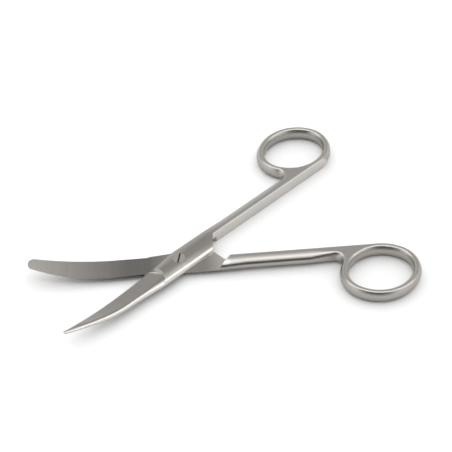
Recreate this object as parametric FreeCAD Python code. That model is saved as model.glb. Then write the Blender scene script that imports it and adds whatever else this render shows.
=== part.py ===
"""Curved operating scissors, sharp/blunt: two forged halves on one slotted pivot screw.

Millimetres. The origin is on the pivot axis, in the plane that the scissors lie on.
+X runs along the middle line towards the finger rings, +Z is up, and the tips rise
towards +Z. Each half is built closed, with its inner side along the X axis, and is
then turned into place about the pivot axis.
"""

import FreeCAD
import Part

import math
import os

Vec = FreeCAD.Vector
AXIS_X = Vec(1, 0, 0)
AXIS_Z = Vec(0, 0, 1)

# Angle between the two halves as modelled, in degrees
OPENING = 37.9

# Forging, common to both halves
THICKNESS = 5.3
BAND_WIDTH = 3.15
BAND_SIDE_RADIUS = 4.0
CROWN_GRIND = 0.03
CLOSED_GAP = 0.24

# Lap joint
LAP_GAP = 0.06
RIDE_HEIGHT = 0.05
RIDE_RADIUS = 11.4
JOINT_SPINE = 5.1
JOINT_OUTER = 4.9
JOINT_SIDE_RADIUS = 2.0
SHOULDER_X = 18.9
SHOULDER_ANGLE = 47.0
BACK_EDGE_GAP = 1.45

# Shank
SHANK_OUTER = 4.5
SHANK_CROWN = 1.1
SHANK_SIDE_RADIUS = 2.2
SHANK_START = 24.0
SHANK_GRIND = 0.85
CROTCH_OUTER = 3.9
CROTCH_TAPER = 9.0
CROTCH_RADIUS = 2.4

# Finger ring: an oval of four arcs
RING_X = 71.85
RING_Y = 12.15
RING_TILT = -13.3
RING_LONG = 15.05
RING_SHORT = 12.75
RING_END_RADIUS = 11.0

# Blades: how the ground inner faces rise from the lap joint to the tips
CURVE_START = 22.0
CURVE_RADIUS = 108.0

# Where the blade's outer face is ground down from the joint
STEP_X = 9.9
STEP_RADIUS = 5.3
STEP_Y = -0.5
STEP_LEAN = 0.35
STEP_COVER = 0.6
SPINE_STEP = 0.05
EDGE_STEP = 0.1

# Blade section, as heights above the inner face
RIDGE_HEIGHT_ROOT = 1.8
RIDGE_HEIGHT_TIP = 0.95
SPINE_SHARE = 0.36
SPINE_ROUND_INSET = 0.33
SPINE_ROUND_HEIGHT = 0.7
EDGE_HEIGHT_ROOT = 0.75
EDGE_HEIGHT_TIP = 0.35
BLADE_OVERLAP = 3.7
BLADE_STATIONS = 9

# Sharp blade in plan
SHARP_REACH = 53.6
SHARP_SPINE = 4.4
SHARP_ROOT_X = 22.0
SHARP_ROOT_SPREAD = 0.6
SHARP_BEND_X = 33.8
SHARP_BEND_LENGTH = 12.0
SHARP_TAPER = 0.175
SHARP_EDGE_ROOT = 3.35
SHARP_EDGE_TIP = 0.1
SHARP_EDGE_BOW = 0.25
SHARP_RIDGE_INSET = 1.35
SHARP_RIDGE_SHARE = 0.6
SHARP_NOSE = (0.6, 0.4)

# Blunt blade in plan
BLUNT_LONGER = 0.4
BLUNT_SPINE_ROOT = 3.6
BLUNT_SPINE_TIP = 3.25
BLUNT_EDGE_ROOT = 4.1
BLUNT_EDGE_BELLY = 4.9
BLUNT_BELLY_X = 27.0
BLUNT_BELLY_RADIUS = 106.0
BLUNT_RIDGE_INSET = 1.5
BLUNT_NOSE = (2.2, 0.6)

# Pivot screw
HEAD_RADIUS = 2.4
HEAD_DEPTH = 1.3
HEAD_RIM = 0.3
HEAD_SINK = 0.06
PIN_RADIUS = 1.6
TAIL_RADIUS = 1.5
SLOT_WIDTH = 0.55
SLOT_DEPTH = 0.7
SLOT_ANGLE = 56.0
RUNNING_CLEARANCE = 0.04
HEAD_CLEARANCE = 0.03

# Derived sizes
LAP_Z = THICKNESS / 2
HALF_BAND = BAND_WIDTH / 2
INNER_Y = CLOSED_GAP / 2
BLUNT_REACH = SHARP_REACH + BLUNT_LONGER
BLANK_FRONT = STEP_X + STEP_COVER * STEP_RADIUS
BLADE_ROOT = STEP_X - BLADE_OVERLAP
SHOULDER_SLOPE = 1 / math.tan(math.radians(SHOULDER_ANGLE))
BACK_EDGE_X = SHOULDER_X - BACK_EDGE_GAP / math.sin(math.radians(SHOULDER_ANGLE))
MARGIN = 1.5
PLATE_END = BACK_EDGE_X - MARGIN
NOSE_OVERLAP = 0.05
FAR = 100.0


def turned(point, angle):
    """A vector turned about Z by an angle in degrees."""
    a = math.radians(angle)
    return Vec(point.x * math.cos(a) - point.y * math.sin(a),
               point.x * math.sin(a) + point.y * math.cos(a), 0)


def angle_of(vector):
    """Direction of a vector in the XY plane, in degrees from 0 to 360."""
    return math.degrees(math.atan2(vector.y, vector.x)) % 360


def outline(start, *steps):
    """A closed wire: each step is a point reached by a line, or (through, end) of an arc."""
    edges = []
    here = start
    for step in steps + (start,):
        if isinstance(step, tuple):
            edges.append(Part.Arc(here, *step).toShape())
            here = step[1]
        elif (step - here).Length > 1e-6:
            edges.append(Part.LineSegment(here, step).toShape())
            here = step
    return Part.Wire(edges)


def prism(wire, low, high):
    """The solid over a closed plan outline, between two heights."""
    face = Part.Face(wire)
    face.translate(Vec(0, 0, low))
    return face.extrude(Vec(0, 0, high - low))


def fused(parts):
    """One solid of several that meet or overlap, without the seams between them."""
    return parts[0].multiFuse(parts[1:]).removeSplitter()


class Oval:
    """The ring's oval in plan: four arcs that meet in tangency."""

    def __init__(self):
        self.centre = Vec(RING_X, RING_Y, 0)
        end_offset = RING_LONG - RING_END_RADIUS
        side_radius = ((end_offset ** 2 + RING_SHORT ** 2 - RING_END_RADIUS ** 2)
                       / (2 * (RING_SHORT - RING_END_RADIUS)))
        side_offset = side_radius - RING_SHORT
        self.near = self.centre - turned(Vec(end_offset, 0, 0), RING_TILT)
        far = self.centre + turned(Vec(end_offset, 0, 0), RING_TILT)
        self.lower = self.centre + turned(Vec(0, side_offset, 0), RING_TILT)
        upper = self.centre - turned(Vec(0, side_offset, 0), RING_TILT)
        self.lower_radius = side_radius
        meet = math.degrees(math.atan2(side_offset, end_offset))
        end_sweep, side_sweep = 2 * meet, 180 - 2 * meet
        start = RING_TILT - meet
        # Each arc: its centre, its outer radius, where it starts and how far it turns
        self.arcs = [
            (far, RING_END_RADIUS, start, end_sweep),
            (upper, side_radius, start + end_sweep, side_sweep),
            (self.near, RING_END_RADIUS, start + 180, end_sweep),
            (self.lower, side_radius, start + 180 + end_sweep, side_sweep),
        ]

    def wire(self, inset):
        """The closed line that runs at one distance inside the ring's outer side."""
        edges = []
        for centre, radius, start, sweep in self.arcs:
            arm = Vec(radius - inset, 0, 0)
            ends = [centre + turned(arm, start + share * sweep) for share in (0, 0.5, 1)]
            edges.append(Part.Arc(*ends).toShape())
        return Part.Wire(edges)


OVAL = Oval()


def side_profile(crown, side, side_radius):
    """Points (u, z) down the forging's oval side, from its crown on top to that below.

    crown and side are distances along the section. The crown's arc and the side's arc meet
    in tangency, which sets the crown's radius. The crown is ground flat by CROWN_GRIND.
    """
    width = abs(side - crown)
    height = LAP_Z + CROWN_GRIND
    crown_radius = ((width ** 2 + height ** 2 - 2 * width * side_radius)
                    / (2 * (height - side_radius)))
    start = math.acos(1 - CROWN_GRIND / crown_radius)
    meet = math.atan((width - side_radius) / (crown_radius - height))
    top = []
    for angle in (start, (start + meet) / 2, meet):
        out = math.copysign(crown_radius * math.sin(angle), side - crown)
        drop = crown_radius * (1 - math.cos(angle)) - CROWN_GRIND
        top.append((crown + out, THICKNESS - drop))
    return top + [(side, LAP_Z)] + [(u, THICKNESS - z) for u, z in reversed(top)]


def side_section(crown, side, side_radius, place):
    """Half section of the forging, from its crown line out to a rounded side.

    place turns a distance along the section and a height into a point.
    """
    p = [place(u, z) for u, z in side_profile(crown, side, side_radius)]
    return outline(place(crown, THICKNESS), p[0], (p[1], p[2]), (p[3], p[4]), (p[5], p[6]),
                   place(crown, 0))


def band_section(side, place):
    """Whole section of the ring's band, whose outer side is at a given distance."""
    crown = side - HALF_BAND
    p, q = ([place(u, z) for u, z in side_profile(crown, end, BAND_SIDE_RADIUS)]
            for end in (side, side - BAND_WIDTH))
    return outline(p[0], (p[1], p[2]), (p[3], p[4]), (p[5], p[6]), q[6],
                   (q[5], q[4]), (q[3], q[2]), (q[1], q[0]))


def radial(centre, angle):
    """A function that places (distance, height) in the upright plane at an angle about a centre."""
    arm = turned(AXIS_X, angle)
    return lambda u, z: centre + arm * u + Vec(0, 0, z)


def ring():
    """The finger ring: one rounded section carried round each of the oval's arcs."""
    return fused([
        Part.Face(band_section(radius, radial(centre, start))).revolve(centre, AXIS_Z, sweep)
        for centre, radius, start, sweep in OVAL.arcs])


def crotch():
    """Centre of the fillet between shank and ring, and how far it turns from the shank."""
    y = CROTCH_OUTER + CROTCH_RADIUS
    reach = RING_END_RADIUS + CROTCH_RADIUS
    centre = Vec(OVAL.near.x - math.sqrt(reach ** 2 - (OVAL.near.y - y) ** 2), y, 0)
    return centre, (angle_of(OVAL.near - centre) + 90) % 360


def inner_side():
    """Where the forging's inner side starts, before grinding, and its direction and length.

    It runs straight to the ring's lower arc, which it meets in tangency.
    """
    waist = Vec(BACK_EDGE_X, INNER_Y - SHANK_GRIND, 0)
    to_ring = OVAL.lower - waist
    lean = math.degrees(math.asin(OVAL.lower_radius / to_ring.Length))
    length = math.sqrt(to_ring.Length ** 2 - OVAL.lower_radius ** 2)
    return waist, turned(AXIS_X, angle_of(to_ring) - lean), length


def loft_along(stations):
    """The solids between half sections given as (x, crown, side, side radius)."""
    sections = [side_section(*sizes, lambda u, z, x=x: Vec(x, u, z)) for x, *sizes in stations]
    return [Part.makeLoft(list(pair), True, True) for pair in zip(sections, sections[1:])]


def outer_side(front_outer):
    """The outer half of joint and shank, from the blade's root to the crotch."""
    end = crotch()[0].x
    return loft_along([
        (-BLANK_FRONT, 0, front_outer, JOINT_SIDE_RADIUS),
        (0, 0, JOINT_OUTER, JOINT_SIDE_RADIUS),
        (PLATE_END, SHANK_CROWN, JOINT_OUTER, JOINT_SIDE_RADIUS),
        (SHANK_START, SHANK_CROWN, SHANK_OUTER, SHANK_SIDE_RADIUS),
        (end - CROTCH_TAPER, SHANK_CROWN, SHANK_OUTER, SHANK_SIDE_RADIUS),
        (end, CROTCH_OUTER - HALF_BAND, CROTCH_OUTER, BAND_SIDE_RADIUS)])


def joint_plate(front_spine):
    """The spine half of the joint, from the blade's root to its slanted back edge."""
    layers = loft_along([
        (-BLANK_FRONT, 0, -front_spine, JOINT_SIDE_RADIUS),
        (0, 0, -JOINT_SPINE, JOINT_SIDE_RADIUS),
        (PLATE_END, SHANK_CROWN, -JOINT_SPINE, JOINT_SIDE_RADIUS),
        (SHOULDER_X, SHANK_CROWN, -JOINT_SPINE, JOINT_SIDE_RADIUS)])
    lean = FAR * SHOULDER_SLOPE
    behind = outline(Vec(BACK_EDGE_X - lean, INNER_Y - FAR, 0), Vec(FAR, INNER_Y - FAR, 0),
                     Vec(FAR, INNER_Y + FAR, 0), Vec(BACK_EDGE_X + lean, INNER_Y + FAR, 0))
    return fused(layers).cut(prism(behind, -MARGIN, FAR))


def shank():
    """The shank's inner side and the flat web that joins it to the ring."""
    centre, sweep = crotch()
    crown_radius = CROTCH_RADIUS + HALF_BAND
    waist, along, length = inner_side()
    inward = turned(along, 90)
    start = waist - along * MARGIN
    inner = side_section(HALF_BAND, 0, BAND_SIDE_RADIUS,
                         lambda u, z: start + inward * u + Vec(0, 0, z))
    fillet = side_section(crown_radius, CROTCH_RADIUS, BAND_SIDE_RADIUS, radial(centre, -90))
    web_start, web_middle, web_end = (
        centre + turned(Vec(crown_radius, 0, 0), share * sweep - 90) for share in (0, 0.5, 1))
    inner_crown = start + inward * HALF_BAND
    core = outline(Vec(PLATE_END, SHANK_CROWN, 0), inner_crown,
                   inner_crown + along * (length + MARGIN), OVAL.centre,
                   web_end, (web_middle, web_start),
                   Vec(centre.x - CROTCH_TAPER, SHANK_CROWN, 0))
    return [
        Part.Face(inner).extrude(along * (length + MARGIN)),
        Part.Face(fillet).revolve(centre, AXIS_Z, sweep),
        prism(core, 0, THICKNESS).cut(prism(OVAL.wire(HALF_BAND), 0, THICKNESS)),
    ]


def lap_space():
    """The room that the other half takes at the joint, below the lap faces."""
    lean = FAR * SHOULDER_SLOPE
    front = outline(Vec(SHOULDER_X + lean, INNER_Y - FAR, 0),
                    Vec(SHOULDER_X - lean, INNER_Y + FAR, 0),
                    Vec(-FAR, INNER_Y + FAR, 0), Vec(-FAR, INNER_Y - FAR, 0))
    lap_face = LAP_Z + LAP_GAP / 2
    relief = lap_face + RIDE_HEIGHT
    disc = Part.makeCylinder(RIDE_RADIUS, relief + MARGIN, Vec(0, 0, -MARGIN))
    blade_side = Part.makeBox(FAR, 2 * FAR, relief + MARGIN, Vec(-FAR, -FAR, -MARGIN))
    return prism(front, -MARGIN, lap_face).multiFuse([disc, blade_side])


def inner_grind():
    """What is ground off behind the joint's back edge and along the inner side of shank and ring."""
    corner = Vec(BACK_EDGE_X, INNER_Y, 0)
    back = outline(corner, corner - Vec(FAR * SHOULDER_SLOPE, FAR, 0),
                   Vec(FAR, INNER_Y - FAR, 0), Vec(FAR, INNER_Y, 0))
    return prism(back, -MARGIN, FAR)


def blank(front_spine, front_outer):
    """One forged half as the upper one lies: joint plate, shank and ring, ready for its blade.

    The two arguments are how far the joint reaches to each side where the blade starts.
    """
    step = Part.makeCone(STEP_RADIUS, STEP_RADIUS + STEP_LEAN * THICKNESS, THICKNESS,
                         Vec(-STEP_X - STEP_RADIUS, STEP_Y, LAP_Z))
    body = fused([ring(), joint_plate(front_spine)] + outer_side(front_outer) + shank())
    return body.cut([lap_space(), inner_grind(), step])


def rise(x):
    """Height that the curved inner face has gained at a distance along the blade."""
    past = max(0.0, x - CURVE_START)
    return CURVE_RADIUS - math.sqrt(CURVE_RADIUS ** 2 - past ** 2)


def bowl(level):
    """The space under the blades' inner face, a surface of revolution about the pivot axis.

    Faces of this form keep one gap between the two curved blades at every opening.
    """
    reach = max(SHARP_REACH, BLUNT_REACH) + 3 * MARGIN
    radius = LAP_Z + CURVE_RADIUS - level

    def on_face(r):
        past = r - CURVE_START
        return Vec(r, 0, LAP_Z + CURVE_RADIUS - math.sqrt(radius ** 2 - past ** 2))

    middle = (CURVE_START + reach) / 2
    profile = outline(Vec(0, 0, -FAR), Vec(reach, 0, -FAR), on_face(reach),
                      (on_face(middle), on_face(CURVE_START)), Vec(0, 0, level))
    return Part.Face(profile).revolve(Vec(0, 0, 0), AXIS_Z, 360)


def sharp_plan(x):
    """Spine, ridge and edge of the sharp blade across the middle line, at x along it."""
    start = SHARP_BEND_X - SHARP_BEND_LENGTH / 2
    past = x - start
    if past < 0:
        drawn_in = 0
    elif past < SHARP_BEND_LENGTH:
        drawn_in = SHARP_TAPER * past ** 2 / (2 * SHARP_BEND_LENGTH)
    else:
        drawn_in = SHARP_TAPER * (x - SHARP_BEND_X)
    spread = min(1, max(0, SHARP_ROOT_X - x) / (SHARP_ROOT_X - BLANK_FRONT))
    spine = drawn_in - SHARP_SPINE - SHARP_ROOT_SPREAD * spread
    share = max(0, x - STEP_X) / (SHARP_REACH - STEP_X)
    edge = (SHARP_EDGE_ROOT + share * (SHARP_EDGE_TIP - SHARP_EDGE_ROOT)
            + 4 * SHARP_EDGE_BOW * share * (1 - share))
    inset = min(SHARP_RIDGE_INSET + 2 * SHARP_ROOT_SPREAD * spread,
                SHARP_RIDGE_SHARE * (edge - spine))
    return spine, spine + inset, edge


def blunt_plan(x):
    """Spine, ridge and edge of the blunt blade across the middle line, at x along it."""
    share = (x - STEP_X) / (BLUNT_REACH - STEP_X)
    spine = -BLUNT_SPINE_ROOT + share * (BLUNT_SPINE_ROOT - BLUNT_SPINE_TIP)
    past = max(x, STEP_X) - BLUNT_BELLY_X
    if past > 0:
        edge = BLUNT_EDGE_BELLY - (BLUNT_BELLY_RADIUS - math.sqrt(BLUNT_BELLY_RADIUS ** 2 - past ** 2))
    else:
        swell = past / (BLUNT_BELLY_X - STEP_X)
        edge = BLUNT_EDGE_BELLY - (BLUNT_EDGE_BELLY - BLUNT_EDGE_ROOT) * swell ** 2
    return spine, spine + BLUNT_RIDGE_INSET, edge


def blade_section(x, plan, side, reach):
    """Section of a blade: edge, ground bevel up to the ridge, rounded spine and its flat back."""
    spine, ridge, edge = plan(x)
    share = (x - BLADE_ROOT) / (reach - BLADE_ROOT)
    top = RIDGE_HEIGHT_ROOT + share ** 2 * (RIDGE_HEIGHT_TIP - RIDGE_HEIGHT_ROOT)
    edge_top = EDGE_HEIGHT_ROOT + share * (EDGE_HEIGHT_TIP - EDGE_HEIGHT_ROOT)
    back = top * SPINE_SHARE

    def at(y, height):
        return Vec(-x, side * y, LAP_Z + rise(x) + side * height)

    shoulder = at(spine + SPINE_ROUND_INSET * (ridge - spine),
                  back + SPINE_ROUND_HEIGHT * (top - back))
    return outline(at(edge, -MARGIN), at(edge, edge_top), at(ridge, top),
                   (shoulder, at(spine, back)), at(spine, -MARGIN))


def blade(plan, side, reach, nose):
    """A blade: its sections lofted, its inner face cut to the common bowl, its tip rounded.

    nose is how far back from the tip its rounding starts, on the spine and on the edge.
    """
    end = reach + MARGIN / 3
    pitch = (end - BLADE_ROOT) / (BLADE_STATIONS - 1)
    stations = [BLADE_ROOT + pitch * i for i in range(BLADE_STATIONS)]
    body = Part.makeLoft([blade_section(x, plan, side, reach) for x in stations], True, False)
    level = LAP_Z + side * (LAP_GAP / 2 + RIDE_HEIGHT)
    body = body.cut(bowl(level)) if side > 0 else body.common(bowl(level))
    # Plan of the rounded tip: an arc through spine, tip and edge
    spine_x, edge_x = (reach - back for back in nose)
    spine, edge = plan(spine_x)[0] - NOSE_OVERLAP, plan(edge_x)[2] + NOSE_OVERLAP
    share = nose[0] / sum(nose)
    tip = Vec(-reach, side * (spine + share * (edge - spine)), 0)
    wide = side * FAR
    keep = outline(Vec(-spine_x, side * spine, 0), (tip, Vec(-edge_x, side * edge, 0)),
                   Vec(-edge_x, wide, 0), Vec(FAR, wide, 0),
                   Vec(FAR, -wide, 0), Vec(-spine_x, -wide, 0))
    return body.common(prism(keep, -FAR, FAR))


def screw_profile(clearance, top):
    """Revolved outline of the pin and countersunk head, let out sideways by a clearance."""
    head_top = THICKNESS - HEAD_SINK
    pin = PIN_RADIUS + (RUNNING_CLEARANCE if clearance else 0)
    head = HEAD_RADIUS + clearance
    seat = LAP_Z - LAP_GAP / 2 - RIDE_HEIGHT
    return [Vec(0, 0, seat), Vec(pin, 0, seat), Vec(pin, 0, head_top - HEAD_DEPTH),
            Vec(head, 0, head_top - HEAD_RIM), Vec(head, 0, top), Vec(0, 0, top)]


def revolved(points):
    """The solid that a profile of straight lines sweeps about the pivot axis."""
    return Part.Face(outline(*points)).revolve(Vec(0, 0, 0), AXIS_Z, 360)


def upper_half():
    """The half with the sharp blade, on top at the joint, countersunk for the screw's head."""
    forging = blank(SHARP_SPINE + SHARP_ROOT_SPREAD + SPINE_STEP, SHARP_EDGE_ROOT + EDGE_STEP)
    body = fused([forging, blade(sharp_plan, 1, SHARP_REACH, SHARP_NOSE)])
    body = body.cut(revolved(screw_profile(HEAD_CLEARANCE, THICKNESS + MARGIN)))
    body.rotate(Vec(0, 0, 0), AXIS_Z, OPENING / 2)
    return body


def lower_half():
    """The half with the blunt blade: the same forging turned over, tapped for the screw."""
    forging = blank(BLUNT_SPINE_ROOT + SPINE_STEP, BLUNT_EDGE_ROOT + EDGE_STEP)
    forging.rotate(Vec(0, 0, LAP_Z), AXIS_X, 180)
    body = fused([forging, blade(blunt_plan, -1, BLUNT_REACH, BLUNT_NOSE)])
    body = body.cut(Part.makeCylinder(TAIL_RADIUS, FAR, Vec(0, 0, -MARGIN)))
    body.rotate(Vec(0, 0, 0), AXIS_Z, -OPENING / 2)
    return body


def pivot_screw():
    """The slotted screw: countersunk head, plain pin and threaded tail, flush on both faces."""
    head_top = THICKNESS - HEAD_SINK
    seat = LAP_Z - LAP_GAP / 2 - RIDE_HEIGHT
    tail = Part.makeCylinder(TAIL_RADIUS, seat)
    body = fused([revolved(screw_profile(0, head_top)), tail])
    slot = Part.makeBox(2 * FAR, SLOT_WIDTH, FAR, Vec(-FAR, -SLOT_WIDTH / 2, head_top - SLOT_DEPTH))
    slot.rotate(Vec(0, 0, 0), AXIS_Z, SLOT_ANGLE)
    return body.cut(slot)


def main():
    """Build the three pieces and write one STEP file for each."""
    os.makedirs("parts", exist_ok=True)
    pieces = {"upper_half": upper_half(), "lower_half": lower_half(), "pivot_screw": pivot_screw()}
    for name, shape in pieces.items():
        solids = shape.Solids
        print(name, len(solids), shape.isValid(), round(shape.Volume, 1), shape.BoundBox)
        solids[0].exportStep(f"parts/{name}.step")


main()
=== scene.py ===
"""Dissecting scissors of satin stainless steel, on a white studio table.

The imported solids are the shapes. This script gives every piece its finish, and sets
the table, the light and the camera. Lengths are in metres unless a name ends in _mm.
"""

import logging
import math
from dataclasses import dataclass
from enum import Enum

import bpy
import numpy as np
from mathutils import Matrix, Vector


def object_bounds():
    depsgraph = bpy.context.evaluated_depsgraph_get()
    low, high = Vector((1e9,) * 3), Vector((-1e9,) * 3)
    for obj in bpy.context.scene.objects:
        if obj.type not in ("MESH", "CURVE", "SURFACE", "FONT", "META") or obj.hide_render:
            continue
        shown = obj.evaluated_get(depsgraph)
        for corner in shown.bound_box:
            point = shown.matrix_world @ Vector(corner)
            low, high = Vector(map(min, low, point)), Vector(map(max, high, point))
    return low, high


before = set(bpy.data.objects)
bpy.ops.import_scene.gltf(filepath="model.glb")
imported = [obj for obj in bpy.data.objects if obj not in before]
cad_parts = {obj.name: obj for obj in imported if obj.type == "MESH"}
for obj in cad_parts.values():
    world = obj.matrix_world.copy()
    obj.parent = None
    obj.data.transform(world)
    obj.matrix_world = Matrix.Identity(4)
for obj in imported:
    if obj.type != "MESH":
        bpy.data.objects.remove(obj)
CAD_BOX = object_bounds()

LOG = logging.getLogger("scissors")
MM = 0.001
OPENING_DEG = 37.9

# How far a face looks away from the other half, from 1 straight away to -1 towards it:
# on the outer side over the first, upright under the second, and between the last two
# where the flat rolls over into the rounded back
OUTER_OVER = -0.5
UPRIGHT_UNDER = 0.7
BACK_ROUNDS = (0.98, 0.92)


def linear(hex_colour: str) -> tuple[float, float, float, float]:
    """Turn an sRGB colour such as "#C8C4BE" into linear light.

    Args:
        hex_colour: The colour as a hash sign and six hex digits.

    Returns:
        Linear red, green, blue, and an alpha of 1.
    """
    channels = [int(hex_colour[i:i + 2], 16) / 255 for i in (1, 3, 5)]
    return (*(c / 12.92 if c <= 0.04045 else ((c + 0.055) / 1.055) ** 2.4 for c in channels), 1.0)


def add_node(tree: bpy.types.NodeTree, kind: str, inputs: dict | None = None,
             **settings: object) -> bpy.types.Node:
    """Add a node with its settings, and fill or link its inputs.

    Args:
        tree: The node tree that gets the node.
        kind: The node's Blender type.
        inputs: Socket name or number to a value, or to an output socket to link from.
        **settings: Properties of the node itself.

    Returns:
        The new node.
    """
    node = tree.nodes.new(kind)
    for name, value in settings.items():
        setattr(node, name, value)
    for socket, value in (inputs or {}).items():
        if isinstance(value, bpy.types.NodeSocket):
            tree.links.new(value, node.inputs[socket])
        else:
            node.inputs[socket].default_value = value
    return node


def new_tree(owner: bpy.types.Material | bpy.types.World) -> bpy.types.NodeTree:
    """Give a material or world an empty node tree, and return it."""
    owner.use_nodes = True
    owner.node_tree.nodes.clear()
    return owner.node_tree


class Grain(Enum):
    """Which way the lines of a finish run on a piece."""

    CROSSWISE = "across its length"
    LENGTHWISE = "along its length"


@dataclass(frozen=True)
class SteelFinish:
    """One finish of stainless steel: its colour, its gloss and the lines of its grit.

    The lines are noise drawn out along the grain. Their real spacing is about 0.03 mm,
    too fine to show, so spacing_mm is drawn as coarse as it needs to show. shade is how
    much darker a line's bottom is, and depth_mm is its relief.
    """

    colour: str
    roughness: float
    roughness_spread: float
    grain: Grain
    spacing_mm: float
    length_mm: float
    shade: float
    depth_mm: float

    def lines(self, tree: bpy.types.NodeTree, place: bpy.types.NodeSocket) -> bpy.types.NodeSocket:
        """Noise stretched along the grain, from 0 to 1.

        Args:
            tree: The material's node tree.
            place: Position in millimetres along, across and above the piece.

        Returns:
            The height of the lines.
        """
        across, along = 1 / self.spacing_mm, 1 / self.length_mm
        lengthwise = self.grain is Grain.LENGTHWISE
        scale = (along, across, across) if lengthwise else (across, along, across)
        drawn = add_node(tree, "ShaderNodeMapping", {"Vector": place, "Scale": scale},
                         vector_type="POINT")
        noise = add_node(tree, "ShaderNodeTexNoise", {"Vector": drawn.outputs[0], "Scale": 1.0,
                                                      "Detail": 1.0, "Roughness": 0.6})
        return noise.outputs[0]

    def sockets(self, tree: bpy.types.NodeTree, place: bpy.types.NodeSocket
                ) -> tuple[bpy.types.NodeSocket, bpy.types.NodeSocket, bpy.types.NodeSocket]:
        """The finish's colour, roughness and line height.

        Args:
            tree: The material's node tree.
            place: Position in millimetres along, across and above the piece.

        Returns:
            Sockets for colour, roughness and height in metres.
        """
        lines = self.lines(tree, place)
        base = linear(self.colour)
        dark = tuple(c * (1 - self.shade) for c in base[:3]) + (1.0,)
        colour = add_node(tree, "ShaderNodeMix", {0: lines, 6: dark, 7: base}, data_type="RGBA")
        low, high = self.roughness - self.roughness_spread, self.roughness + self.roughness_spread
        rough = add_node(tree, "ShaderNodeMapRange",
                         {"Value": lines, "To Min": high, "To Max": low})
        height = add_node(tree, "ShaderNodeMath", {0: lines, 1: self.depth_mm * MM},
                          operation="MULTIPLY")
        return colour.outputs[2], rough.outputs[0], height.outputs[0]


# Ground across the blade on a wheel: fine lines from spine to edge, soft streaks of light
GROUND_BLADE = SteelFinish("#B9B5B0", 0.28, 0.01, Grain.CROSSWISE, 1.6, 40.0, 0.12, 0.0001)
# Ground flat at the lap joint on a belt, along the length: a duller, even grey
GROUND_JOINT = SteelFinish("#B9B5B0", 0.29, 0.01, Grain.LENGTHWISE, 1.2, 20.0, 0.10, 0.0001)
# Forged, then brushed with fine grit round shank and ring: a silky, brighter grey
SATIN_FORGING = SteelFinish("#CFCBC6", 0.31, 0.02, Grain.LENGTHWISE, 0.9, 12.0, 0.08, 0.0002)
# Buffed along the rounded front of the joint and the blade's back, with a crisper light;
# its paler colour is partly a painted highlight on the rounded back
BUFFED_BACK_HIGHLIGHT = SteelFinish("#E2DED9", 0.27, 0.01, Grain.LENGTHWISE, 1.6, 20.0, 0.02, 0.0001)
# Ground flat across, where the shanks and rings face each other: pale, with fine upright lines
GROUND_SIDE = SteelFinish("#FDF9F4", 0.34, 0.03, Grain.CROSSWISE, 0.8, 10.0, 0.08, 0.0002)
# Turned from bar stock: a little warmer than the forged steel
TURNED_SCREW = SteelFinish("#D6CEC8", 0.34, 0.03, Grain.LENGTHWISE, 0.6, 4.0, 0.04, 0.0002)


def steel_shader(tree: bpy.types.NodeTree, colour: bpy.types.NodeSocket,
                 roughness: bpy.types.NodeSocket, height: bpy.types.NodeSocket,
                 edge_mm: float) -> None:
    """Finish a metal material: its shader, its line relief and its slightly broken edges.

    Args:
        tree: The material's node tree.
        colour: Base colour.
        roughness: Roughness.
        height: Relief in metres.
        edge_mm: Radius to which sharp edges are broken.
    """
    edges = add_node(tree, "ShaderNodeBevel", {"Radius": edge_mm * MM}, samples=6)
    relief = add_node(tree, "ShaderNodeBump", {"Strength": 1.0, "Distance": 1.0,
                                               "Height": height, "Normal": edges.outputs[0]})
    shader = add_node(tree, "ShaderNodeBsdfPrincipled",
                      {"Base Color": colour, "Roughness": roughness, "Metallic": 1.0,
                       "Normal": relief.outputs[0]})
    add_node(tree, "ShaderNodeOutputMaterial", {"Surface": shader.outputs[0]})


def own_place(tree: bpy.types.NodeTree, turn_deg: float, across: float = 1.0
              ) -> bpy.types.NodeSocket:
    """Position in millimetres along, across and above a piece that is turned about the pivot.

    Args:
        tree: The material's node tree.
        turn_deg: How far the piece's length is turned from the X axis.
        across: -1 for a piece that is turned over, whose outer side is on the other side.

    Returns:
        The position's socket.
    """
    place = add_node(tree, "ShaderNodeTexCoord")
    return add_node(tree, "ShaderNodeMapping",
                    {"Vector": place.outputs["Object"],
                     "Rotation": (0, 0, math.radians(-across * turn_deg)),
                     "Scale": (1 / MM, across / MM, 1 / MM)}, vector_type="POINT").outputs[0]


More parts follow.
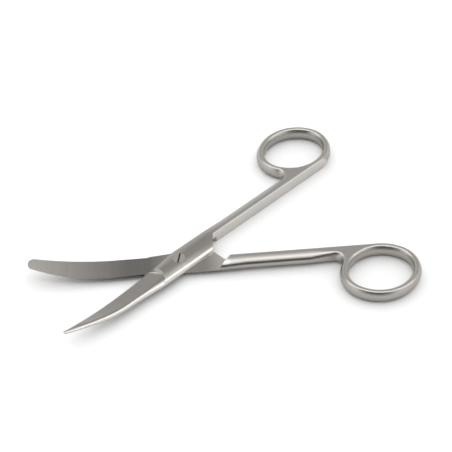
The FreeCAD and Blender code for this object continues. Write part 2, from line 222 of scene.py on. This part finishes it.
@dataclass
class Half:
    """One forged half: a ground blade, a ground joint, and a brushed shank and ring.

    Places are in the half's own frame: x from the pivot towards the ring, y towards the
    shank's rounded side. across is -1 for the half that is turned over. The step is the
    arc that the wheel left at the blade's root. Two pairs hold the factors on the steel's
    colour at fade_from_mm and at the tip, for the blade and for its cutting edge: painted
    shade at the root and painted light towards the tip. Another factor is painted light on
    the lap face at the shoulder, and one more a painted highlight on the step's rim. They
    are matched to the tones of the photograph, which the room's light alone doesn't give.
    Each _blend_mm pair says where a finish blends, counted from shank_from_mm.
    """

    node: str
    turn_deg: float
    across: float = 1.0
    edge_mm: float = 0.12
    step_x_mm: float = -15.2
    step_y_mm: float = -0.5
    step_radius_mm: float = 5.4
    step_wall_mm: float = 6.0
    # Painted highlight on the step's rim: its strength, and where across the half it grows
    step_painted_highlight: float = 0.8
    step_painted_highlight_y_mm: tuple[float, float] = (-2.0, 1.5)
    blade_from_mm: float = -11.0
    blade_tip_mm: float = -52.0
    fade_from_mm: float = -19.0
    lap_blend_mm: float = 6.0
    # Painted shade and light on the blade and its cutting edge, as colour factors at root and tip
    blade_painted_shading: tuple[float, float] = (1.0, 1.0)
    edge_painted_shading: tuple[float, float] = (1.0, 1.0)
    back_blend_mm: tuple[float, float] = (2.0, -6.0)
    shank_from_mm: float = 17.5
    shank_blend_mm: tuple[float, float] = (-6.0, 8.0)
    shoulder_blend_mm: float = 1.0
    # Painted light on the lap face at the shoulder, and where it blends in
    lap_painted_light: float = 1.7
    lap_painted_light_blend_mm: tuple[float, float] = (-9.0, -1.0)
    inner_side_mm: float = 0.14
    inner_side_sooner_mm: float = 3.0

    def blade_share(self, tree: bpy.types.NodeTree, far: bpy.types.NodeSocket,
                    x: bpy.types.NodeSocket, outer: bpy.types.NodeSocket) -> bpy.types.NodeSocket:
        """1 on the blade and 0 behind it.

        On the outer side the blade's root is the arc that the wheel ground into the joint.
        On the inner side the grinding fades into the lap face.

        Args:
            tree: The material's node tree.
            far: Distance from the arc's centre in millimetres.
            x: Place along the half.
            outer: 1 on the half's outer side.

        Returns:
            The share's socket.
        """
        in_arc = add_node(tree, "ShaderNodeMath", {0: far, 1: self.step_radius_mm},
                          operation="LESS_THAN")
        past = add_node(tree, "ShaderNodeMath", {0: x, 1: self.step_x_mm}, operation="LESS_THAN")
        outside = add_node(tree, "ShaderNodeMath", {0: in_arc.outputs[0], 1: past.outputs[0]},
                           operation="MAXIMUM")
        inside = add_node(tree, "ShaderNodeMapRange",
                          {"Value": x, "From Min": self.blade_from_mm + self.lap_blend_mm,
                           "From Max": self.blade_from_mm})
        return add_node(tree, "ShaderNodeMix",
                        {0: outer, 2: inside.outputs[0], 3: outside.outputs[0]}).outputs[0]

    def step_wall(self, tree: bpy.types.NodeTree, far: bpy.types.NodeSocket,
                  y: bpy.types.NodeSocket, outer: bpy.types.NodeSocket) -> bpy.types.NodeSocket:
        """Share of the pale ground finish on the arc's rim at the blade's root, laid on as a
        painted highlight that grows towards its cutting side.

        Args:
            tree: The material's node tree.
            far: Distance from the arc's centre in millimetres.
            y: Place across the half.
            outer: 1 on the half's outer side.

        Returns:
            The share's socket.
        """
        rim = add_node(tree, "ShaderNodeMath", {0: far, 1: self.step_wall_mm},
                       operation="LESS_THAN")
        there = add_node(tree, "ShaderNodeMath", {0: rim.outputs[0], 1: outer},
                         operation="MULTIPLY")
        start, end = self.step_painted_highlight_y_mm
        side = add_node(tree, "ShaderNodeMapRange",
                        {"Value": y, "From Min": start, "From Max": end, "To Max": self.step_painted_highlight})
        return add_node(tree, "ShaderNodeMath", {0: there.outputs[0], 1: side.outputs[0]},
                        operation="MULTIPLY").outputs[0]

    def outer_side(self, tree: bpy.types.NodeTree) -> bpy.types.NodeSocket:
        """1 on faces that look away from the other half, 0 on the ground inner faces."""
        away = self.own_normal(tree)[2]
        return add_node(tree, "ShaderNodeMath", {0: away, 1: OUTER_OVER},
                        operation="GREATER_THAN").outputs[0]

    def own_normal(self, tree: bpy.types.NodeTree) -> bpy.types.NodeOutputs:
        """The surface's direction along, across and away from the other half.

        It turns with the half, so the finishes stay in place at every opening.

        Args:
            tree: The material's node tree.

        Returns:
            The three sockets.
        """
        normal = add_node(tree, "ShaderNodeTexCoord").outputs["Normal"]
        own = add_node(tree, "ShaderNodeVectorMath", {0: normal, 1: (1, self.across, self.across)},
                       operation="MULTIPLY").outputs[0]
        return add_node(tree, "ShaderNodeSeparateXYZ", {0: own}).outputs

    def upright(self, tree: bpy.types.NodeTree) -> bpy.types.NodeSocket:
        """1 on faces that stand upright, such as the flat inner side of the shank."""
        steep = add_node(tree, "ShaderNodeMath", {0: self.own_normal(tree)[2]},
                         operation="ABSOLUTE")
        return add_node(tree, "ShaderNodeMath", {0: steep.outputs[0], 1: UPRIGHT_UNDER},
                        operation="LESS_THAN").outputs[0]

    def inner_side(self, tree: bpy.types.NodeTree, x: bpy.types.NodeSocket,
                   y: bpy.types.NodeSocket, upright: bpy.types.NodeSocket) -> bpy.types.NodeSocket:
        """1 on the ground side of shank and ring that faces the other half's.

        Args:
            tree: The material's node tree.
            x: Place along the half.
            y: Place across the half.
            upright: 1 on upright faces, which the side's grinding meets sooner.

        Returns:
            The share's socket.
        """
        start = add_node(tree, "ShaderNodeMix",
                         {0: upright, 2: self.shank_from_mm,
                          3: self.shank_from_mm - self.inner_side_sooner_mm})
        behind = add_node(tree, "ShaderNodeMath", {0: x, 1: start.outputs[0]},
                          operation="GREATER_THAN")
        inside = add_node(tree, "ShaderNodeMath", {0: y, 1: self.inner_side_mm},
                          operation="LESS_THAN")
        return add_node(tree, "ShaderNodeMath", {0: behind.outputs[0], 1: inside.outputs[0]},
                        operation="MULTIPLY").outputs[0]

    def painted_shading(self, tree: bpy.types.NodeTree, x: bpy.types.NodeSocket,
             upright: bpy.types.NodeSocket) -> bpy.types.NodeSocket:
        """Factor of painted shade and light on the blade: darker at the root, paler towards the
        tip, and its cutting edge more so.

        Args:
            tree: The material's node tree.
            x: Place along the half.
            upright: 1 on upright faces, the narrow one at the cutting edge.

        Returns:
            The factor's socket.
        """
        flat, edge = (
            add_node(tree, "ShaderNodeMapRange",
                     {"Value": x, "From Min": self.fade_from_mm, "From Max": self.blade_tip_mm,
                      "To Min": ends[0], "To Max": ends[1]}).outputs[0]
            for ends in (self.blade_painted_shading, self.edge_painted_shading))
        return add_node(tree, "ShaderNodeMix", {0: upright, 2: flat, 3: edge}).outputs[0]

    def rounded_back_highlight(self, tree: bpy.types.NodeTree, x: bpy.types.NodeSocket,
                     outer: bpy.types.NodeSocket) -> bpy.types.NodeSocket:
        """Share of the buffing on the rounded front of joint and blade, up to the shank, whose
        paler colour is partly a painted highlight.

        Args:
            tree: The material's node tree.
            x: Place along the half.
            outer: 1 on the half's outer side.

        Returns:
            The share's socket.
        """
        _, across, away = self.own_normal(tree)
        front = add_node(tree, "ShaderNodeMath", {0: across, 1: 0.0}, operation="LESS_THAN")
        round_over = add_node(tree, "ShaderNodeMapRange",
                              {"Value": away, "From Min": BACK_ROUNDS[0],
                               "From Max": BACK_ROUNDS[1]})
        start, end = (self.shank_from_mm + mm for mm in self.back_blend_mm)
        before = add_node(tree, "ShaderNodeMapRange",
                          {"Value": x, "From Min": start, "From Max": end})
        share = outer
        for part in (front, round_over, before):
            share = add_node(tree, "ShaderNodeMath", {0: share, 1: part.outputs[0]},
                             operation="MULTIPLY").outputs[0]
        return share

    def shoulder_painted_light(self, tree: bpy.types.NodeTree, x: bpy.types.NodeSocket,
                      outer: bpy.types.NodeSocket) -> bpy.types.NodeSocket:
        """Factor of painted light on the lap face, paler towards the shoulder.

        Args:
            tree: The material's node tree.
            x: Place along the half.
            outer: 1 on the half's outer side.

        Returns:
            The factor's socket.
        """
        start, end = (self.shank_from_mm + mm for mm in self.lap_painted_light_blend_mm)
        pale = add_node(tree, "ShaderNodeMapRange",
                        {"Value": x, "From Min": start, "From Max": end, "To Min": 1.0,
                         "To Max": self.lap_painted_light}, interpolation_type="SMOOTHSTEP")
        return add_node(tree, "ShaderNodeMix", {0: outer, 2: pale.outputs[0], 3: 1.0}).outputs[0]

    def shank_share(self, tree: bpy.types.NodeTree, x: bpy.types.NodeSocket,
                    outer: bpy.types.NodeSocket) -> bpy.types.NodeSocket:
        """1 on shank and ring: from the shoulder on the inner side, softly on the outer.

        Args:
            tree: The material's node tree.
            x: Place along the half.
            outer: 1 on the half's outer side.

        Returns:
            The share's socket.
        """
        at_shoulder = add_node(tree, "ShaderNodeMapRange",
                               {"Value": x, "From Min": self.shank_from_mm,
                                "From Max": self.shank_from_mm + self.shoulder_blend_mm})
        start, end = (self.shank_from_mm + mm for mm in self.shank_blend_mm)
        softly = add_node(tree, "ShaderNodeMapRange",
                          {"Value": x, "From Min": start, "From Max": end},
                          interpolation_type="SMOOTHSTEP")
        return add_node(tree, "ShaderNodeMix",
                        {0: outer, 2: at_shoulder.outputs[0], 3: softly.outputs[0]}).outputs[0]

    def material(self) -> bpy.types.Material:
        """The half's steel, with its finishes side by side where each tool reached."""
        made = bpy.data.materials.new(f"satin_stainless_{self.node}")
        tree = new_tree(made)
        place = own_place(tree, self.turn_deg, self.across)
        x, y = add_node(tree, "ShaderNodeSeparateXYZ", {0: place}).outputs[:2]
        flat = add_node(tree, "ShaderNodeVectorMath", {0: place, 1: (1, 1, 0)},
                        operation="MULTIPLY")
        centre = (self.step_x_mm, self.step_y_mm, 0)
        far = add_node(tree, "ShaderNodeVectorMath", {0: flat.outputs[0], 1: centre},
                       operation="DISTANCE").outputs["Value"]
        outer = self.outer_side(tree)
        upright = self.upright(tree)
        painted_shading = self.painted_shading(tree, x, upright)
        colour, rough, height = GROUND_JOINT.sockets(tree, place)
        # Painted light on the lap face towards the shoulder
        painted_lap_light = self.shoulder_painted_light(tree, x, outer)
        colour = add_node(tree, "ShaderNodeVectorMath", {0: colour, "Scale": painted_lap_light},
                          operation="SCALE").outputs[0]
        mixed = (colour, rough, height)
        layers = (
            # The first layer is a painted highlight on the step's rim
            (self.step_wall(tree, far, y, outer), GROUND_SIDE),
            (self.blade_share(tree, far, x, outer), GROUND_BLADE),
            (self.shank_share(tree, x, outer), SATIN_FORGING),
            # Buffing on the rounded back, its paler colour partly a painted highlight
            (self.rounded_back_highlight(tree, x, outer), BUFFED_BACK_HIGHLIGHT),
            (self.inner_side(tree, x, y, upright), GROUND_SIDE),
        )
        for share, finish in layers:
            colour, rough, height = finish.sockets(tree, place)
            # The blade's colour is scaled by its painted shade and light
            if finish is GROUND_BLADE:
                colour = add_node(tree, "ShaderNodeVectorMath", {0: colour, "Scale": painted_shading},
                                  operation="SCALE").outputs[0]
            mixed = (
                add_node(tree, "ShaderNodeMix", {0: share, 6: mixed[0], 7: colour},
                         data_type="RGBA").outputs[2],
                add_node(tree, "ShaderNodeMix", {0: share, 2: mixed[1], 3: rough}).outputs[0],
                add_node(tree, "ShaderNodeMix", {0: share, 2: mixed[2], 3: height}).outputs[0],
            )
        steel_shader(tree, *mixed, self.edge_mm)
        return made

    def dress(self) -> None:
        """Give the CAD node its material."""
        put_on(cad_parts[self.node], self.material())
        LOG.info("%s: ground blade and joint, satin shank and ring", self.node)


@dataclass
class PivotScrew:
    """The slotted screw at the joint.

    head_mm is where the slot's painted shade starts, and slot_mm how far down it is full.
    """

    node: str = "pivot_screw"
    slot_deg: float = 56.0
    edge_mm: float = 0.05
    head_mm: float = 5.1
    slot_mm: float = 0.5
    # Painted shade: the colour's factor at the bottom of the slot
    slot_painted_shade: float = 0.12

    def dress(self) -> None:
        """Give the CAD node its material, with painted shade down in the slot."""
        made = bpy.data.materials.new("turned_stainless_screw")
        tree = new_tree(made)
        place = own_place(tree, self.slot_deg)
        colour, rough, height = TURNED_SCREW.sockets(tree, place)
        depth = add_node(tree, "ShaderNodeSeparateXYZ", {0: place}).outputs[2]
        # Painted shade down in the slot
        slot_shade_factor = add_node(tree, "ShaderNodeMapRange",
                         {"Value": depth, "From Min": self.head_mm - self.slot_mm,
                          "From Max": self.head_mm, "To Min": self.slot_painted_shade, "To Max": 1.0})
        colour = add_node(tree, "ShaderNodeVectorMath", {0: colour, "Scale": slot_shade_factor.outputs[0]},
                          operation="SCALE").outputs[0]
        steel_shader(tree, colour, rough, height, self.edge_mm)
        put_on(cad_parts[self.node], made)
        LOG.info("%s: turned steel", self.node)


def put_on(piece: bpy.types.Object, made: bpy.types.Material) -> None:
    """Make a material the only one of a piece."""
    if piece.material_slots:
        for slot in piece.material_slots:
            slot.material = made
    else:
        piece.data.materials.append(made)


@dataclass
class Studio:
    """A white table under a wide softbox, with pale walls and a dark camera side.

    The room's light is known by the angle over the scissors, from the horizon in front
    (0) by the zenith (90) to the horizon behind (180), and by how far aside it lies:
    middle holds up to sides_from, and sides holds from sides_to. The steel reflects these
    two, while the table is lit by over_table, by the same angle. All three are matched
    to the tones of the photograph.
    """

    table_size: float = 6.0
    table_colour: str = "#F4F4F4"
    table_in_steel: str = "#C8C8C8"
    front_deg: float = -24.887
    middle: tuple[tuple[float, float], ...] = (
        (0, 0.08), (8, 0.03), (52, 0.03), (58, 0.5), (64, 1.85), (80, 1.85), (93, 0.95),
        (106, 0.60), (120, 0.46), (135, 0.46), (150, 0.58), (165, 0.72), (180, 0.95))
    sides: tuple[tuple[float, float], ...] = (
        (0, 0.95), (15, 1.10), (30, 0.80), (45, 0.70), (60, 1.1), (75, 1.7), (92, 1.55),
        (108, 0.65), (120, 0.50), (150, 0.60), (180, 0.95))
    over_table: tuple[tuple[float, float], ...] = (
        (0, 0.5), (30, 0.42), (45, 0.35), (60, 0.85), (75, 1.75), (92, 1.5), (108, 1.35),
        (128, 1.75), (150, 1.5), (170, 1.2), (180, 1.1))
    sides_from: float = 0.35
    sides_to: float = 0.75

    def table(self) -> None:
        """A flat square at the height of the lowest point of the scissors.

        Its corners are the four sign pairs times half its side.
        """
        half = self.table_size / 2
        corners = np.array([(-1, -1, 0), (1, -1, 0), (1, 1, 0), (-1, 1, 0)], float) * half
        corners[:, 2] = CAD_BOX[0].z
        mesh = bpy.data.meshes.new("table")
        mesh.from_pydata(corners.tolist(), [], [(0, 1, 2, 3)])
        top = bpy.data.objects.new("table", mesh)
        bpy.context.scene.collection.objects.link(top)
        mesh.materials.append(self.table_material())

    def table_material(self) -> bpy.types.Material:
        """Matt white paper, which the steel shows a little greyer than the camera sees it."""
        made = bpy.data.materials.new("white_paper")
        tree = new_tree(made)
        rays = add_node(tree, "ShaderNodeLightPath").outputs
        colour = add_node(tree, "ShaderNodeMix",
                          {0: rays["Is Glossy Ray"], 6: linear(self.table_colour),
                           7: linear(self.table_in_steel)}, data_type="RGBA")
        paper = add_node(tree, "ShaderNodeBsdfDiffuse", {"Color": colour.outputs[2]})
        add_node(tree, "ShaderNodeOutputMaterial", {"Surface": paper.outputs[0]})
        return made

    def room(self) -> None:
        """The light all round, as the photograph shows it reflected in the steel.

        The camera sees white past the table. The table's own light comes from above and
        behind, as the shadows in front of the scissors show.
        """
        world = bpy.data.worlds.new("studio")
        bpy.context.scene.world = world
        world.cycles.sampling_method = "NONE"
        tree = new_tree(world)
        way = add_node(tree, "ShaderNodeTexCoord").outputs["Generated"]
        height = add_node(tree, "ShaderNodeSeparateXYZ", {0: way}).outputs[2]
        front = math.radians(self.front_deg)
        axes = ((math.sin(front), -math.cos(front), 0), (math.cos(front), math.sin(front), 0))
        toward, aside = (
            add_node(tree, "ShaderNodeVectorMath", {0: way, 1: axis},
                     operation="DOT_PRODUCT").outputs["Value"]
            for axis in axes)
        over = add_node(tree, "ShaderNodeMath", {0: height, 1: toward}, operation="ARCTAN2")
        over = add_node(tree, "ShaderNodeMath", {0: over.outputs[0], 1: math.pi},
                        operation="DIVIDE").outputs[0]
        off = add_node(tree, "ShaderNodeMath", {0: aside}, operation="ABSOLUTE")
        share = add_node(tree, "ShaderNodeMapRange",
                         {"Value": off.outputs[0], "From Min": self.sides_from,
                          "From Max": self.sides_to}, interpolation_type="SMOOTHSTEP")
        walls = add_node(tree, "ShaderNodeMix",
                         {0: share.outputs[0], 6: self.levels(tree, over, self.middle),
                          7: self.levels(tree, over, self.sides)}, data_type="RGBA")
        rays = add_node(tree, "ShaderNodeLightPath").outputs
        gloss = add_node(tree, "ShaderNodeMath",
                         {0: rays["Is Glossy Ray"], 1: rays["Is Transmission Ray"]},
                         operation="MAXIMUM")
        light = add_node(tree, "ShaderNodeMix",
                         {0: gloss.outputs[0], 6: self.levels(tree, over, self.over_table),
                          7: walls.outputs[2]}, data_type="RGBA")
        room = add_node(tree, "ShaderNodeBackground", {"Color": light.outputs[2]})
        white = add_node(tree, "ShaderNodeBackground", {"Color": (1.0, 1.0, 1.0, 1.0)})
        seen = add_node(tree, "ShaderNodeMixShader",
                        {0: rays["Is Camera Ray"], 1: room.outputs[0], 2: white.outputs[0]})
        add_node(tree, "ShaderNodeOutputWorld", {"Surface": seen.outputs[0]})

    def levels(self, tree: bpy.types.NodeTree, over: bpy.types.NodeSocket,
               stops: tuple[tuple[float, float], ...]) -> bpy.types.NodeSocket:
        """The light along one arc over the scissors.

        Args:
            tree: The world's node tree.
            over: Angle over the scissors, as a share of 180 degrees.
            stops: Pairs of angle in degrees and light.

        Returns:
            The light's socket.
        """
        top = max(level for _, level in stops)
        ramp = add_node(tree, "ShaderNodeValToRGB", {0: over})
        marks = ramp.color_ramp.elements
        while len(marks) < len(stops):
            marks.new(1.0)
        for mark, (angle, level) in zip(marks, stops):
            mark.position = angle / 180
            mark.color = (level / top, level / top, level / top, 1)
        return add_node(tree, "ShaderNodeVectorMath", {0: ramp.outputs[0], 1: (top, top, top)},
                        operation="MULTIPLY").outputs[0]

    def build(self) -> None:
        """Set the table and the room."""
        self.table()
        self.room()
        LOG.info("studio: white table, softbox overhead")


@dataclass
class PhotoCamera:
    """The camera as the photograph was taken: a long lens from the front left, looking down."""

    lens_mm: float = 111.5
    sensor_mm: float = 36.0
    azimuth_deg: float = -24.887
    elevation_deg: float = 45.659
    distance: float = 0.5241
    aim: tuple[float, float, float] = (0.024307, 0.012037, 0.0)

    def build(self) -> None:
        """Make the camera and set it as the scene's."""
        data = bpy.data.cameras.new("photo_camera")
        data.lens = self.lens_mm
        data.sensor_width = self.sensor_mm
        data.clip_start = self.distance / 10
        data.clip_end = self.distance * 100
        camera = bpy.data.objects.new("photo_camera", data)
        bpy.context.scene.collection.objects.link(camera)
        azimuth, elevation = math.radians(self.azimuth_deg), math.radians(self.elevation_deg)
        back = Vector((math.sin(azimuth) * math.cos(elevation),
                       -math.cos(azimuth) * math.cos(elevation), math.sin(elevation)))
        camera.location = Vector(self.aim) + back * self.distance
        camera.rotation_euler = (math.pi / 2 - elevation, 0, azimuth)
        bpy.context.scene.camera = camera
        LOG.info("camera: %.1f mm lens, %.0f mm away", self.lens_mm, self.distance / MM)


def main() -> None:
    """Dress the scissors, set the studio and place the camera."""
    logging.basicConfig(level=logging.INFO, format="%(name)s: %(message)s")
    bpy.context.scene.view_settings.view_transform = "Standard"
    PhotoCamera().build()
    Half("upper_half", OPENING_DEG / 2).dress()
    # The lower blade carries painted shade at its root and painted light towards its tip
    Half("lower_half", -OPENING_DEG / 2, across=-1.0, blade_painted_shading=(0.66, 1.7),
         edge_painted_shading=(0.2, 1.6)).dress()
    PivotScrew().dress()
    Studio().build()


if __name__ == "__main__":
    main()
